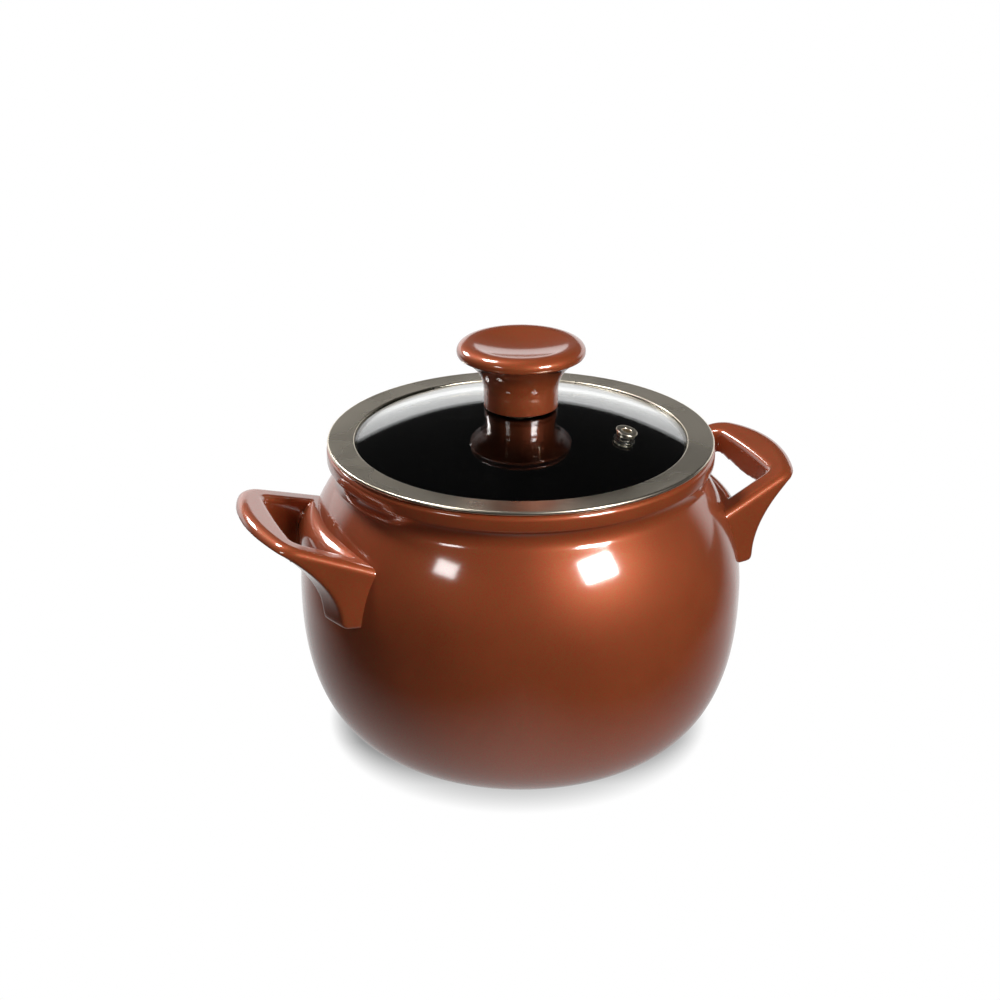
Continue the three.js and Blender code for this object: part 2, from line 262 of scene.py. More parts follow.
def turnedMetalLook(name):
    s = turnedSettings[name]
    look, tree, shader, place = newLook(name)
    marks = useGroup(tree, turningMarks, place, s["scales"])
    addColour(tree, shader, marks["Line"], s["shade"], s["light"])
    addRoughness(tree, shader, marks["Drift"], noiseSpan, s["roughness"])
    addBump(tree, shader, marks["Line"], *s["lines"])
    setSockets(shader, {"Metallic": 1.0})
    return look


rubberSettings = {
    "dark": (0.010, 0.009, 0.009, 1), "dusty": (0.028, 0.026, 0.025, 1),
    "grainScale": 900.0, "roughness": (0.55, 0.72), "grain": (0.00004, 0.4),
}


def darkSiliconeLook():
    s = rubberSettings
    look, tree, shader, place = newLook("darkSilicone")
    grain = addNoise(tree, place, s["grainScale"])
    addColour(tree, shader, grain, s["dark"], s["dusty"])
    addRoughness(tree, shader, grain, noiseSpan, s["roughness"])
    addBump(tree, shader, grain, *s["grain"])
    return look


glassSettings = {
    "tint": (0.96, 0.985, 0.975, 1), "clear": (0.99, 1.0, 0.995, 1),
    "filmScale": 18.0, "filmShare": (0.45, 0.75), "roughness": (0.0, 0.02),
    "sockets": {"Metallic": 0.0, "Transmission Weight": 1.0, "IOR": 1.5},
}


def clearGlassLook():
    s = glassSettings
    look, tree, shader, place = newLook("clearGlass")
    film = addNoise(tree, place, s["filmScale"], detail=4.0)  # a faint film of steam and wiping
    addColour(tree, shader, film, s["tint"], s["clear"])
    addRoughness(tree, shader, film, s["filmShare"], s["roughness"])
    setSockets(shader, s["sockets"])
    return look


copperGlaze = copperGlazeLook()
blackGlaze = blackGlazeLook()
bareClay = bareClayLook()
satinSteel = turnedMetalLook("satinSteel")
turnedBrass = turnedMetalLook("turnedBrass")
darkSilicone = darkSiliconeLook()
clearGlass = clearGlassLook()
print("finishes:", len(bpy.data.materials))

meshSettings = {"mergeDistance": 0.002, "crease": 35}


def levels(node):  # outer radius, lowest and highest level of a round node
    low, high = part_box(node)
    return high.x / mm, low.z / mm, high.z / mm


def arcPath(centre, reach, start, end, steps):  # reach is a radius, or (out, up); angles in degrees
    out, up = reach if isinstance(reach, tuple) else (reach, reach)
    turns = [math.radians(start + (end - start) * i / steps) for i in range(steps + 1)]
    return [(centre[0] + out * math.cos(t), centre[1] + up * math.sin(t)) for t in turns]


def bendPath(start, control, end, steps):  # one quadratic bend
    start, control, end = Vector(start), Vector(control), Vector(end)
    leave, arrive = start.lerp(control, 2 / 3), end.lerp(control, 2 / 3)
    return [tuple(point) for point in interpolate_bezier(start, leave, arrive, end, steps + 1)]


def turnPath(shape, path, turns, finish=0):
    earlier = set(shape.faces)
    line = [shape.verts.new((r * mm, 0, z * mm)) for r, z in path]
    edges = [shape.edges.new(pair) for pair in zip(line, line[1:])]
    bmesh.ops.spin(
        shape, geom=line + edges, cent=(0, 0, 0), axis=upAxis, angle=math.tau, steps=turns, use_merge=True,
    )
    for face in shape.faces:
        if face not in earlier:
            face.material_index = finish


def closeUp(shape):
    bmesh.ops.remove_doubles(shape, verts=shape.verts, dist=meshSettings["mergeDistance"] * mm)
    bmesh.ops.recalc_face_normals(shape, faces=shape.faces)
    for face in shape.faces:
        face.smooth = True
    for edge in shape.edges:
        edge.smooth = edge.calc_face_angle(0) < math.radians(meshSettings["crease"])


def toObject(name, shape):
    mesh = bpy.data.meshes.new(name)
    shape.to_mesh(mesh)
    shape.free()
    made = bpy.data.objects.new(name, mesh)
    scene.collection.objects.link(made)
    return made


def dress(piece, node, *finishes):
    for finish in finishes:
        piece.data.materials.append(finish)
    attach(piece, bodyOf[node])
    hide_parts(node)
    print(piece.name, "for", node, len(piece.data.polygons), "faces")
    return piece


def turnedPiece(name, node, path, turns, finish, closed=True, place=None):
    shape = bmesh.new()
    turnPath(shape, path + path[:1] if closed else path, turns)
    if place:
        bmesh.ops.transform(shape, matrix=place, verts=shape.verts)
    closeUp(shape)
    return dress(toObject(name, shape), node, finish)


def turnedTool(name, path, turns):
    shape = bmesh.new()
    turnPath(shape, path, turns)
    closeUp(shape)
    return toObject(name, shape)


def barTool(name, radius, depth, segments, place):  # straight bar along its own Z
    shape = bmesh.new()
    bmesh.ops.create_cone(
        shape, cap_ends=True, segments=segments, radius1=radius * mm, radius2=radius * mm,
        depth=depth * mm, matrix=place,
    )
    return toObject(name, shape)


def bakeModifiers(piece):  # replace the mesh with what its modifiers give
    graph = bpy.context.evaluated_depsgraph_get()
    mesh = bpy.data.meshes.new_from_object(piece.evaluated_get(graph))
    piece.modifiers.clear()
    piece.data = mesh


def cutWith(piece, tool, operation):
    cut = piece.modifiers.new(tool.name, "BOOLEAN")
    cut.operation = operation
    cut.solver = "EXACT"
    cut.object = tool
    bakeModifiers(piece)
    bpy.data.objects.remove(tool)


# Vessel: levels first, then its outside, the rolled lip, the inside and the dry foot
bellyRadius, potFoot, rimTop = levels("pot_body")
potSizes = {
    "baseRadius": 60, "bellyHeight": 78, "fullness": 2.4, "shoulderCurve": 91,
    "wall": 5.5, "floor": 7, "neckRadius": 88.6, "neckFillet": 9, "neckRise": 5.3,
    "lipOverhang": 4.8, "lipHeight": 8, "lipLow": 1.5, "lipHigh": 2.6, "lipTuck": 80, "lipLean": 4,
    "mouthRadius": 84.2, "mouthRound": 1.2, "dryFoot": 58.5, "turns": 220,
    "steps": {
        "bowl": 44, "shoulder": 30, "neck": 16, "lipLow": 6, "lipHigh": 9,
        "mouth": 5, "inside": 16, "basin": 24,
    },
}
shoulderCentre = (bellyRadius - potSizes["shoulderCurve"], potSizes["bellyHeight"])
filletCentre = (
    potSizes["neckRadius"] + potSizes["neckFillet"],
    rimTop - potSizes["lipHeight"] - potSizes["neckRise"],
)
shoulderRise = filletCentre[1] - shoulderCentre[1]
shoulderEnd = math.degrees(math.atan2(shoulderRise, filletCentre[0] - shoulderCentre[0]))
lipRadius = potSizes["neckRadius"] + potSizes["lipOverhang"]


def bowlPath(radius, floor, steps):  # from the flat up to the belly, fuller than an ellipse
    base, belly, power = potSizes["baseRadius"], potSizes["bellyHeight"], 2 / potSizes["fullness"]
    path = []
    for turn in [math.pi / 2 * (1 - i / steps) for i in range(steps + 1)]:
        out = max(math.cos(turn), 0) ** power
        down = math.sin(turn) ** power
        path.append((base + (radius - base) * out, belly - (belly - floor) * down))
    return path


def shellPath(clearance):  # outside of bowl and shoulder, or a skin that stands off from it
    s = potSizes
    bowl = bowlPath(bellyRadius + clearance, potFoot, s["steps"]["bowl"])
    curve = s["shoulderCurve"] + clearance
    return bowl + arcPath(shoulderCentre, curve, 0, shoulderEnd, s["steps"]["shoulder"])[1:]


def lipPath():
    s, steps = potSizes, potSizes["steps"]
    rise = math.degrees(math.asin(s["neckRise"] / s["neckFillet"]))
    lowCentre = (lipRadius - s["lipLow"], rimTop - s["lipHeight"] + s["lipLow"])
    highCentre = (lipRadius - s["lipHigh"], rimTop - s["lipHigh"])
    neck = arcPath(filletCentre, s["neckFillet"], 180 + shoulderEnd, 180 - rise, steps["neck"])[1:]
    low = arcPath(lowCentre, s["lipLow"], -s["lipTuck"], -s["lipLean"], steps["lipLow"])
    return neck + low + arcPath(highCentre, s["lipHigh"], s["lipLean"], 90, steps["lipHigh"])


def potShell():
    s, steps = potSizes, potSizes["steps"]
    mouthCentre = (s["mouthRadius"] + s["mouthRound"], rimTop - s["mouthRound"])
    mouth = arcPath(mouthCentre, s["mouthRound"], 90, 180, steps["mouth"])
    innerCurve = s["shoulderCurve"] - s["wall"]
    innerEnd = math.degrees(math.acos((s["mouthRadius"] - shoulderCentre[0]) / innerCurve))
    inside = arcPath(shoulderCentre, innerCurve, innerEnd, 0, steps["inside"])
    basin = bowlPath(bellyRadius - s["wall"], potFoot + s["floor"], steps["basin"])[::-1][1:]
    foot = [(s["dryFoot"] * share, potFoot) for share in (0, 0.5, 1)]
    shape = bmesh.new()
    turnPath(shape, foot[-1:] + shellPath(0) + lipPath() + mouth[:1], s["turns"], 0)
    turnPath(shape, mouth + inside + basin + [(0, potFoot + s["floor"])], s["turns"], 1)
    turnPath(shape, foot, s["turns"], 2)
    closeUp(shape)
    return dress(toObject("potShell", shape), "pot_body", copperGlaze, blackGlaze, bareClay)


potShell()


# Loop handles: a tilted slab with rolled edges, trimmed by turned tools and softened like a moulding
handleSizes = {
    "drop": 17.4, "tilt": 19.3, "spread": 96, "taper": 0.225, "reach": 29, "curve": 88, "corner": 7,
    "gripWidth": 14.8, "armWidth": 11.8, "openingCurve": 320, "openingCorner": 4.5, "rootDepth": 37.5,
    "gripRoll": 4.8, "armRoll": 3.6, "innerRoll": 2.8,
    "lugDepth": 31.6, "lugStandOff": 5.8, "lugFoot": (2, 2.5), "underKnee": 8.8, "noseThickness": 5.6,
    "railDrop": 0.4, "railRoll": (10.6, 14), "archRadius": 48, "archRise": 11.5, "seamSink": 1.0,
    "voxel": 0.42, "softFactor": 0.5, "softening": 8, "wiping": 36, "wipeDepth": 5,
    "turns": 180, "archSegments": 128, "cornerRounds": 20,
    "steps": {"end": 20, "corner": 10, "side": 12, "roll": 10, "foot": 8, "under": 24, "rail": 20},
}
handleSeat = filletCentre[1] - handleSizes["drop"]
seatRise = handleSeat - potSizes["bellyHeight"]
seatRadius = shoulderCentre[0] + math.sqrt(potSizes["shoulderCurve"] ** 2 - seatRise ** 2)
gripOut = bellyRadius + handleSizes["reach"]
openingOut = gripOut - handleSizes["gripWidth"]
handleRoot = seatRadius - handleSizes["rootDepth"]
handleTilt = math.radians(handleSizes["tilt"])
lugBottom = handleSeat - handleSizes["lugDepth"]
ceiling = handleSeat + gripOut  # well above the handles


def armEdge(out):  # half width outside the arms at a distance from the axis
    half = handleSizes["spread"] / 2
    return half - handleSizes["taper"] * (out - math.sqrt(seatRadius ** 2 - half ** 2))


def planOutline(reach, curve, inset, corner):  # straight tapering sides, arched end, eased corners
    steps = handleSizes["steps"]
    across, out = armEdge(reach) - inset, reach
    for _ in range(handleSizes["cornerRounds"]):  # closes in on where the side meets the arched end
        out = reach - curve + math.sqrt(curve ** 2 - across ** 2)
        across = armEdge(out) - inset
    before = Vector((out - corner, armEdge(out - corner) - inset))
    root = Vector((handleRoot, armEdge(handleRoot) - inset))
    swing = math.degrees(math.atan2(across, out - reach + curve)) - math.degrees(corner / curve)
    end = arcPath((reach - curve, 0), curve, 0, swing, steps["end"])
    side = [tuple(before.lerp(root, i / steps["side"])) for i in range(1, steps["side"] + 1)]
    half = end + bendPath(end[-1], (out, across), before, steps["corner"])[1:] + side
    return [(x, -y) for x, y in half[:0:-1]] + half


def slabRoll(out):  # the edge rolls over further along the grip than along the arms
    share = min(max((out - openingOut) / handleSizes["corner"], 0), 1)
    return handleSizes["armRoll"] + (handleSizes["gripRoll"] - handleSizes["armRoll"]) * share


def rolledEdge(outline, rolls, way, slope):  # rows of an edge rolling inwards, -1, or outwards, 1
    steps = handleSizes["steps"]["roll"]
    neighbours = list(zip(outline[-1:] + outline[:-1], outline[1:] + outline[:1]))
    rows = []
    for turn in [math.pi / 2 * k / steps for k in range(steps + 1)]:
        row = []
        for (before, after), point, roll in zip(neighbours, outline, rolls):
            facing = Vector((after[1] - before[1], before[0] - after[0])).normalized()
            out = Vector(point) + facing * way * roll * (1 - math.cos(turn))
            row.append((out.x, out.y, slope * (out.x - seatRadius) - roll * (1 - math.sin(turn))))
        rows.append(row)
    return rows


def loftRows(rows):  # closed rows of points, each bridged to the next, with both ends filled
    shape = bmesh.new()
    loops = []
    for row in rows:
        line = [shape.verts.new(Vector(point) * mm) for point in row]
        loops.append([shape.edges.new(pair) for pair in zip(line, line[1:] + line[:1])])
    for low, high in zip(loops, loops[1:]):
        bmesh.ops.bridge_loops(shape, edges=low + high)
    for loop in (loops[0], loops[-1]):
        bmesh.ops.edgeloop_fill(shape, edges=loop)
    bmesh.ops.recalc_face_normals(shape, faces=shape.faces)
    return shape


def handleSlab():
    s = handleSizes
    stretch = 1 / math.cos(handleTilt)
    outline = planOutline(gripOut, s["curve"], 0, s["corner"])
    rows = [[(x, y, -ceiling) for x, y in outline]]
    rows += rolledEdge(outline, [slabRoll(x) for x, y in outline], -1, 0)
    slab = loftRows([[((x - seatRadius) * stretch, y, z) for x, y, z in row] for row in rows])
    place = Matrix.Translation((seatRadius * mm, 0, handleSeat * mm)) @ Matrix.Rotation(-handleTilt, 4, "Y")
    bmesh.ops.transform(slab, matrix=place, verts=slab.verts)
    return toObject("handleBlank", slab)


def undersideTool():  # all above the hollow underside, from the lug feet out to the nose of the grip
    s, steps = handleSizes, handleSizes["steps"]
    across, up = s["lugFoot"]
    start = bellyRadius + s["lugStandOff"]
    noseHeight = handleSeat + math.tan(handleTilt) * (gripOut - seatRadius) - s["noseThickness"]
    foot = arcPath((start - across, lugBottom + up), s["lugFoot"], -90, 0, steps["foot"])
    knee = (start, handleSeat - s["underKnee"])
    under = bendPath((start, lugBottom + up), knee, (gripOut, noseHeight), steps["under"])
    far = gripOut + s["gripRoll"]
    sweep = [(0, lugBottom)] + foot + under[1:] + [(far, noseHeight), (far, ceiling), (0, ceiling)]
    return turnedTool("undersideTool", sweep, s["turns"])


def openingTool():  # finger opening, with the rolled rail left standing against the shoulder
    s = handleSizes
    outline = planOutline(openingOut, s["openingCurve"], s["armWidth"], s["openingCorner"])
    rows = [[(x, y, potFoot - handleSeat) for x, y in outline]]
    rows += rolledEdge(outline, [s["innerRoll"]] * len(outline), 1, math.tan(handleTilt))
    rows.append([(x, y, gripOut) for x, y, z in rows[-1]])
    lifted = [[(x, y, z + handleSeat) for x, y, z in row] for row in rows]
    opening = toObject("openingTool", loftRows(lifted))
    railTop = handleSeat - s["railDrop"]
    rail = arcPath((seatRadius, railTop - s["railRoll"][1]), s["railRoll"], 0, 90, s["steps"]["rail"])
    keep = [(0, 0), (rail[0][0], 0)] + rail + [(0, railTop)]
    cutWith(opening, turnedTool("railTool", keep, s["turns"]), "DIFFERENCE")
    return opening


def archTool():  # arch between the two lugs
    s = handleSizes
    axis = lugBottom + s["archRise"] - s["archRadius"]
    place = Matrix.Translation((gripOut / 2 * mm, 0, axis * mm)) @ Matrix.Rotation(math.pi / 2, 4, "Y")
    return barTool("archTool", s["archRadius"], gripOut, s["archSegments"], place)


def shoulderTool():  # the handle's foot sinks just below the glaze of the shoulder
    seat = shellPath(-handleSizes["seamSink"]) + [(potSizes["neckRadius"], ceiling), (0, ceiling)]
    return turnedTool("shoulderTool", [(0, 0)] + seat, handleSizes["turns"])


def handleBlank():
    s = handleSizes
    blank = handleSlab()
    cutWith(blank, undersideTool(), "INTERSECT")
    for makeTool in (openingTool, archTool, shoulderTool):
        cutWith(blank, makeTool(), "DIFFERENCE")
    skin = blank.modifiers.new("mouldedSkin", "REMESH")
    skin.mode = "VOXEL"
    skin.voxel_size = s["voxel"] * mm
    skin.use_smooth_shade = True
    soft = blank.modifiers.new("softEdges", "SMOOTH")
    soft.factor = s["softFactor"]
    soft.iterations = s["softening"]
    bakeModifiers(blank)
    return blank


def wipeUnderside(shape):  # edges well below the top face are wiped rounder than those above
    s = handleSizes
    below = []
    for vert in shape.verts:
        top = handleSeat + math.tan(handleTilt) * (abs(vert.co.x) / mm - seatRadius)
        if vert.co.z / mm < top - s["wipeDepth"]:
            below.append(vert)
    for _ in range(s["wiping"]):
        bmesh.ops.smooth_vert(
            shape, verts=below, factor=s["softFactor"], use_axis_x=True, use_axis_y=True, use_axis_z=True,
        )


def loopHandles():
    blank = handleBlank()
    sides = (("handleLoopRight", "handle_right", 0), ("handleLoopLeft", "handle_left", math.pi))
    for name, node, turn in sides:
        shape = bmesh.new()
        shape.from_mesh(blank.data)
        wipeUnderside(shape)
        bmesh.ops.rotate(shape, cent=(0, 0, 0), matrix=Matrix.Rotation(turn, 3, "Z"), verts=shape.verts)
        for face in shape.faces:
            face.smooth = True
        dress(toObject(name, shape), node, copperGlaze)
    bpy.data.objects.remove(blank)


loopHandles()


# Lid glass: a domed pane of even thickness, drilled for the screw and the vent
glassRadius, _, glassHigh = levels("lid_glass")
glassSizes = {
    "dome": 205, "thickness": 4, "screwHole": 3.5, "ventOut": 53.5, "ventTurn": -45, "ventHole": 3.8,
    "turns": 220, "steps": 40, "drillSegments": 48,
}
domeInside = glassSizes["dome"] - glassSizes["thickness"]
domeCentre = glassHigh - math.sqrt(glassSizes["dome"] ** 2 - glassSizes["screwHole"] ** 2)


def domeAt(sphere, radius):
    return domeCentre + math.sqrt(sphere ** 2 - radius ** 2)


def domePath(sphere, start, end, steps):
    radii = [start + (end - start) * i / steps for i in range(steps + 1)]
    return [(r, domeAt(sphere, r)) for r in radii]


ventLean = math.asin(glassSizes["ventOut"] / glassSizes["dome"])
ventHeight = domeAt(glassSizes["dome"], glassSizes["ventOut"])
ventPlace = (
    Matrix.Rotation(math.radians(glassSizes["ventTurn"]), 4, "Z")
    @ Matrix.Translation((glassSizes["ventOut"] * mm, 0, ventHeight * mm))
    @ Matrix.Rotation(ventLean, 4, "Y")
)


def glassDome():
    s = glassSizes
    over = domePath(s["dome"], s["screwHole"], glassRadius, s["steps"])
    under = domePath(domeInside, glassRadius, s["screwHole"], s["steps"])
    pane = turnedPiece("glassDome", "lid_glass", over + under, s["turns"], clearGlass)
    drill = barTool("ventDrill", s["ventHole"], 3 * s["thickness"], s["drillSegments"], ventPlace)
    cutWith(pane, drill, "DIFFERENCE")


glassDome()


# Steel band: hemmed outside, curled at its inner edge, with a channel that grips the pane
_, bandLow, bandTop = levels("lid_rim_band")
bandSizes = {
    "inset": 0.4, "width": 13, "sheet": 0.6, "hem": 2, "return": 4, "channel": 82.7, "curl": 0.7,
    "camber": 0.02, "flatAt": (0.12, 0.3, 0.5, 0.7, 0.86), "fold": 0.4, "lowFold": 0.3, "clearance": 0.3,
    "turns": 260, "steps": {"curl": 10, "hem": 14},
}


def steelBand():
    s, steps = bandSizes, bandSizes["steps"]
    outer = lipRadius - s["inset"]
    inner, half, bottom = outer - s["width"], s["hem"] / 2, bandTop - s["hem"]
    channel, fold, lowFold = s["channel"], s["fold"], s["lowFold"]
    channelInner, returnInner = channel - s["sheet"], channel - s["return"]
    sheetTop, sheetLow = bandLow + s["sheet"], bandTop - s["sheet"] - s["clearance"]
    curl = arcPath((inner + s["curl"], bandTop - s["curl"]), s["curl"], 250, 80, steps["curl"])
    flat = [(inner + s["width"] * share, bandTop - s["camber"]) for share in s["flatAt"]]
    hem = arcPath((outer - half, bandTop - half), half, 95, -90, steps["hem"])
    grip = [
        (channel + fold, bottom), (channel, bottom - fold),
        (channel, bandLow + lowFold), (channel - lowFold, bandLow),
        (returnInner, bandLow), (returnInner, sheetTop), (channelInner, sheetTop),
        (channelInner, sheetLow), (inner + 2 * s["curl"], sheetLow),
    ]
    return turnedPiece("steelBand", "lid_rim_band", curl + flat + hem + grip, s["turns"], satinSteel)


steelBand()


# Knob and the stack that holds it
_, knobFoot, knobTop = levels("lid_knob")
knobSizes = {
    "disc": 30.6, "edge": 6, "edgeTuck": 0.5, "brim": (5.4, 4.2), "crown": 0.9,
    "dish": 23, "dishDepth": 2.8, "stem": 17.9, "stemHeight": 7, "flareKnee": 0.62,
    "footRound": 0.5, "skirt": 0.8, "recess": 16.3, "bushHole": 5.1, "bushDepth": 13.3, "turns": 160,
    "steps": {"foot": 5, "flare": 20, "edge": 8, "brim": 18, "ease": 6, "dish": 24},
}


def turnedKnob():
    s, steps = knobSizes, knobSizes["steps"]
    across, fall = s["brim"]
    top = knobTop + s["crown"]
    discLow = top - s["edge"]
    stemTop = knobFoot + s["stemHeight"]
    skirtLow = knobFoot - s["skirt"]
    boreTop = knobFoot + s["bushDepth"]
    bore = [(0, boreTop), (s["bushHole"], boreTop), (s["bushHole"], knobFoot)]
    recess = [(s["recess"], knobFoot), (s["recess"], skirtLow)]  # the foot gasket sits in it
    footCentre = (s["stem"] - s["footRound"], skirtLow + s["footRound"])
    foot = arcPath(footCentre, s["footRound"], -90, 0, steps["foot"])
    knee = (s["stem"], stemTop + (discLow - stemTop) * s["flareKnee"])
    under = (s["disc"] - (s["edge"] - fall) * s["edgeTuck"], discLow)
    flare = bendPath((s["stem"], stemTop), knee, under, steps["flare"])
    edge = bendPath(flare[-1], (s["disc"], discLow), (s["disc"], top - fall), steps["edge"])[1:]
    brim = arcPath((s["disc"] - across, top - fall), s["brim"], 0, 90, steps["brim"])[1:]
    radii = [s["dish"] * (1 - i / steps["dish"]) for i in range(steps["dish"] + 1)]
    dish = [(r, top - s["dishDepth"] * (1 - (r / s["dish"]) ** 2)) for r in radii]
    ease = bendPath(brim[-1], (s["dish"], top), dish[1], steps["ease"])[1:]
    path = bore + recess + foot + flare + edge + brim + ease + dish[2:]
    return turnedPiece("turnedKnob", "lid_knob", path, s["turns"], copperGlaze, closed=False)


turnedKnob()

stackSizes = {
    "bushBore": 2.8, "washerBore": 2.8, "gasketBore": 3.5, "gap": 0.2, "ease": 0.15,
    "turns": 64, "gasketTurns": 128, "steps": 8,
}


def easedRing(bore, radius, low, high, ease):  # square ring with its corners just broken
    return [
        (bore, low + ease), (bore + ease, low), (radius - ease, low), (radius, low + ease),
        (radius, high - ease), (radius - ease, high), (bore + ease, high), (bore, high - ease),
    ]


def knobStack():
    s = stackSizes
    bore = s["gasketBore"]
    bush = easedRing(s["bushBore"], *levels("knob_insert"), s["ease"])
    turnedPiece("brassBush", "knob_insert", bush, s["turns"], turnedBrass)
    washer = easedRing(s["washerBore"], *levels("screw_washer"), s["ease"])
    turnedPiece("screwRing", "screw_washer", washer, s["turns"], satinSteel)
    radius, _, high = levels("knob_gasket_upper")
    over = domePath(glassSizes["dome"] + s["gap"], bore, radius, s["steps"])
    over += [(radius, high), (bore, high)]
    turnedPiece("footGasket", "knob_gasket_upper", over, s["gasketTurns"], darkSilicone)
    radius, low, _ = levels("knob_gasket_lower")
    under = [(bore, low), (radius, low)] + domePath(domeInside - s["gap"], radius, bore, s["steps"])
    turnedPiece("underGasket", "knob_gasket_lower", under, s["gasketTurns"], darkSilicone)


knobStack()

screwSizes = {
    "shank": 2.5, "headHeight": 2.6, "headDome": 0.8, "headEdge": 0.5, "ease": 0.1,
    "plainShank": 6, "pitch": 0.8, "threadDepth": 0.4, "tip": 1, "tipShare": 0.7,
    "socket": 1.7, "socketDepth": 1.5, "socketSides": 6, "turns": 64, "domeSteps": 10,
}


def panScrew():
    s = screwSizes
    radius, low, high = levels("knob_screw")
    shank, ease = s["shank"], s["ease"]
    headTop = low + s["headHeight"]
    bulge = (radius * s["headDome"], low)
    dome = bendPath((0, low), bulge, (radius, headTop - s["headEdge"]), s["domeSteps"])
    thread = []
    level = headTop + s["plainShank"]
    while level + s["pitch"] < high - s["tip"]:
        thread += [(shank, level), (shank - s["threadDepth"], level + s["pitch"] / 2)]
        level += s["pitch"]
    head = dome + [(radius, headTop - ease), (radius - ease, headTop), (shank, headTop)]
    tip = [(shank, level), (shank * s["tipShare"], high), (0, high)]
    screw = turnedPiece("panScrew", "knob_screw", head + thread + tip, s["turns"], satinSteel, closed=False)
    place = Matrix.Translation((0, 0, low * mm))
    socket = barTool("socketTool", s["socket"], 2 * s["socketDepth"], s["socketSides"], place)
    cutWith(screw, socket, "DIFFERENCE")


panScrew()


# Steam vent: rolled eyelet through the glass and the ring that holds it from below
ventSizes = {
    "bore": 2.2, "tube": 3.5, "flare": 0.9, "collar": 4.5, "collarHeight": 1.4, "collarEase": 0.1,
    "flange": 5.2, "flangeHeight": 1.1, "gap": 0.2, "ring": 1, "ringEase": 0.15,
    "turns": 64, "steps": {"flange": 12, "throat": 8, "flare": 8},
}


def steamVent():
    s, steps = ventSizes, ventSizes["steps"]
    gap, tube, collar, ease = s["gap"], s["tube"], s["collar"], s["collarEase"]
    ringTop = -glassSizes["thickness"] - gap
    flareTop = ringTop - s["ring"] - gap
    flareLow, flareOut = flareTop - s["ring"], tube + s["flare"]
    collarTop = gap + s["collarHeight"]
    flangeTop, half = collarTop + s["flangeHeight"], s["flangeHeight"] / 2
    rolled = arcPath((s["flange"] - half, flangeTop - half), half, -90, 90, steps["flange"])
    throat = arcPath((s["bore"] + half, flangeTop - half), half, 90, 180, steps["throat"])
    eyelet = [(s["bore"], flareLow)]
    eyelet += bendPath((flareOut, flareLow), (flareOut, flareTop), (tube, flareTop), steps["flare"])
    eyelet += [(tube, gap), (collar - ease, gap), (collar, gap + ease), (collar, collarTop)]
    eyelet += rolled + throat
    turnedPiece("ventEyelet", "vent_grommet", eyelet, s["turns"], satinSteel, place=ventPlace)
    hold = easedRing(tube + gap, s["flange"], ringTop - s["ring"], ringTop, s["ringEase"])
    turnedPiece("ventRing", "vent_washer", hold, s["turns"], darkSilicone, place=ventPlace)


steamVent()


# Studio: two soft boxes in front and two behind, a bright low backdrop, and a pale floor
studioSettings = {
    "boxes": {
        "softBoxRight": {"towards": (25.3, 31.5), "aim": (-3, -95, 126), "size": (0.37, 0.28), "glow": 39},
        "softBoxLeft": {"towards": (-65.7, 31.5), "aim": (-62, -71, 126), "size": (0.25, 0.18), "glow": 7},
        "softBoxBack": {"towards": (-140, 62), "aim": (0, 0, 130), "size": (0.3, 0.26), "glow": 28},
        "softBoxLow": {"towards": (-155, 31), "aim": (0, 0, 125), "size": (0.3, 0.2), "glow": 17},
    },
    "distance": 1.2,
    "energyPerGlow": 4,  # for each square metre of a box
    "roomGlow": 0.02,
    "backdropGlow": 1.15,
    "backdropTop": 15,
    "backdropSoftness": 0.015,
    "backdropSpread": (0.4, 0.65),
    "backAzimuth": 159.1,
    "floorSize": 8,
    "floorColour": (0.35, 0.35, 0.35, 1),
    "contactFloor": (0.055, 0.085),
    "contactGlow": 0.6,
    "floorPool": (0.06, 0.29),
    "poolNose": 0.03,
    "poolFade": 1.5,
    "poolGlow": 0.86,
    "frontFloor": 0.012,
    "shadowSamples": 32,
    "shadowReach": 0.0155,
    "shadowTilt": (0.05, -0.4, 1.0),
    "shadowFront": (-0.07, -0.03),
    "shadowDepth": (0.55, 1.2),
    "shadowDark": 0.3,
    "shadowEdge": 0.82,
}


def towards(azimuth, elevation):  # azimuth 0 is -Y, 90 is +X
    a, e = math.radians(azimuth), math.radians(elevation)
    return Vector((math.sin(a) * math.cos(e), -math.cos(a) * math.cos(e), math.sin(e)))


backWay = towards(studioSettings["backAzimuth"], 0)  # level, from the camera's side to the far side


def addSoftBoxes():
    for name, s in studioSettings["boxes"].items():
        width, height = s["size"]
        lamp = bpy.data.lights.new(name, "AREA")
        lamp.shape = "RECTANGLE"
        lamp.size, lamp.size_y = width, height
        lamp.energy = studioSettings["energyPerGlow"] * width * height * s["glow"]
        box = bpy.data.objects.new(name, lamp)
        aim = towards(*s["towards"])
        box.location = Vector(s["aim"]) * mm + aim * studioSettings["distance"]
        box.rotation_euler = aim.to_track_quat("Z", "Y").to_euler()
        scene.collection.objects.link(box)


def directSight(tree):  # 1 where the camera looks straight at it, or only through the glass
    path = addNode(tree, "ShaderNodeLightPath").outputs
    bounces = addMath(tree, "ADD", path["Glossy Depth"], path["Diffuse Depth"])
    straight = addMath(tree, "LESS_THAN", bounces, 0.5)
    through = addMath(tree, "MULTIPLY", path["Is Transmission Ray"], straight)
    return addMath(tree, "MAXIMUM", path["Is Camera Ray"], through)


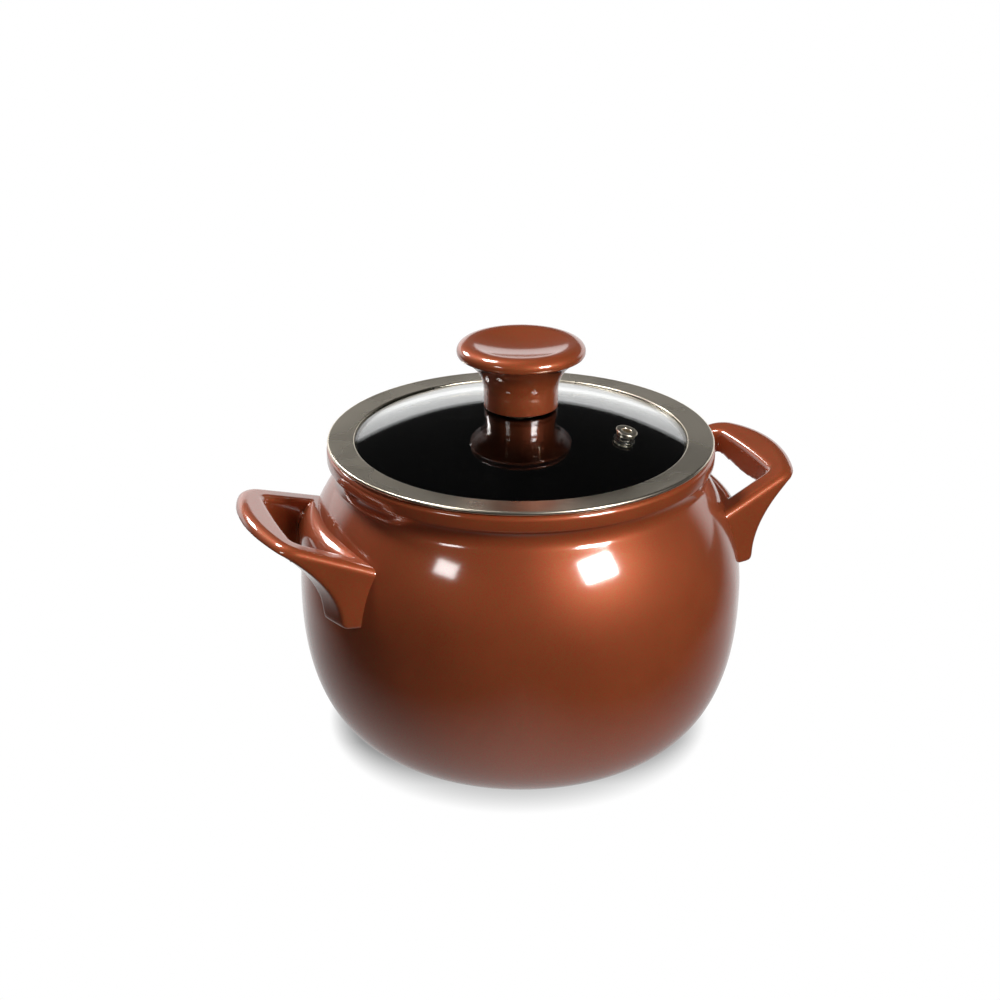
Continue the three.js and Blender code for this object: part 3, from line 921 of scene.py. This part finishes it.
def addRoom():
    s = studioSettings
    room = bpy.data.worlds.new("studioRoom")
    room.use_nodes = True
    scene.world = room
    tree = room.node_tree
    ray = addNode(tree, "ShaderNodeTexCoord").outputs["Generated"]
    height = addNode(tree, "ShaderNodeSeparateXYZ", None, {"Vector": ray}).outputs["Z"]
    top, soft = math.sin(math.radians(s["backdropTop"])), s["backdropSoftness"]
    low = addRange(tree, height, top - soft, top + soft, 1, 0, soft=True)
    behind = addRange(tree, addDot(tree, ray, backWay), *s["backdropSpread"], 0, 1, soft=True)
    glow = addRange(tree, addMath(tree, "MULTIPLY", low, behind), 0, 1, s["roomGlow"], s["backdropGlow"])
    shade = tree.nodes["Background"]
    shade.inputs["Color"].default_value = (1, 1, 1, 1)
    tree.links.new(mixValues(tree, directSight(tree), glow, 1.0), shade.inputs["Strength"])


def floorShadow(tree, back):  # what the camera sees: white, shaded round the foot, less in front of it
    s = studioSettings
    lean = Vector(s["shadowTilt"]).normalized()
    tilt = addNode(tree, "ShaderNodeCombineXYZ", None, dict(zip("XYZ", lean)))
    inputs = {"Distance": s["shadowReach"], "Normal": tilt.outputs[0]}
    sky = addNode(tree, "ShaderNodeAmbientOcclusion", {"samples": s["shadowSamples"]}, inputs).outputs["AO"]
    closed = addRange(tree, sky, 0, s["shadowEdge"], 1, 0)
    depth = addRange(tree, back, *s["shadowFront"], *s["shadowDepth"])
    shade = addMath(tree, "SUBTRACT", 1, addMath(tree, "MULTIPLY", closed, depth))
    return addMath(tree, "MAXIMUM", shade, s["shadowDark"])


def floorPool(tree, place, back):  # what the glaze mirrors: dark in front, lit towards the backdrop
    s = studioSettings
    offset = addNode(tree, "ShaderNodeVectorMath", {"operation": "LENGTH"}, {0: place}).outputs["Value"]
    squares = [addMath(tree, "POWER", value, 2) for value in (offset, back)]
    aside = addMath(tree, "ADD", addMath(tree, "SUBTRACT", *squares), s["poolNose"] ** 2)
    inward = addMath(tree, "SUBTRACT", addMath(tree, "POWER", aside, 0.5), back)
    pool = addMath(tree, "POWER", addRange(tree, inward, *s["floorPool"], 1, 0), s["poolFade"])
    near = addRange(tree, pool, 0, 1, s["frontFloor"], s["poolGlow"])
    # painted shade: the mirrored floor is dimmed close round the foot, as a painted contact shadow
    contact = addRange(tree, offset, *s["contactFloor"], s["contactGlow"], 1, soft=True)
    return addMath(tree, "MULTIPLY", near, contact)


def addFloor():
    s = studioSettings
    shape = bmesh.new()
    bmesh.ops.create_grid(shape, x_segments=2, y_segments=2, size=s["floorSize"] / 2)
    floor = toObject("paleFloor", shape)
    look, tree, shader, place = newLook("paleFloor")
    setSockets(shader, {"Base Color": s["floorColour"], "Roughness": 1.0, "Specular IOR Level": 0.0})
    back = addDot(tree, place, backWay)
    seen = directSight(tree)
    glow = mixValues(tree, seen, floorPool(tree, place, back), floorShadow(tree, back))
    lit = addNode(tree, "ShaderNodeEmission", None, {"Strength": glow})
    mirrored = addNode(tree, "ShaderNodeLightPath").outputs["Is Glossy Ray"]
    shown = addMath(tree, "MAXIMUM", seen, mirrored)
    mixed = addNode(tree, "ShaderNodeMixShader", None, {0: shown, 1: shader.outputs[0], 2: lit.outputs[0]})
    tree.links.new(mixed.outputs[0], tree.nodes["Material Output"].inputs["Surface"])
    floor.data.materials.append(look)


addSoftBoxes()
addRoom()
addFloor()

cameraSettings = {
    "place": (-0.3055, -0.7716, 0.4785), "down": 23.43, "turn": -20.95,
    "lens": 66.56, "sensor": 36, "shift": -0.0012,
}


def addCamera():
    s = cameraSettings
    lens = bpy.data.cameras.new("photoCamera")
    lens.lens, lens.sensor_width, lens.shift_x = s["lens"], s["sensor"], s["shift"]
    camera = bpy.data.objects.new("photoCamera", lens)
    camera.location = s["place"]
    camera.rotation_euler = (math.radians(90 - s["down"]), 0, math.radians(s["turn"]))
    scene.collection.objects.link(camera)
    scene.camera = camera


addCamera()
print("studio ready")
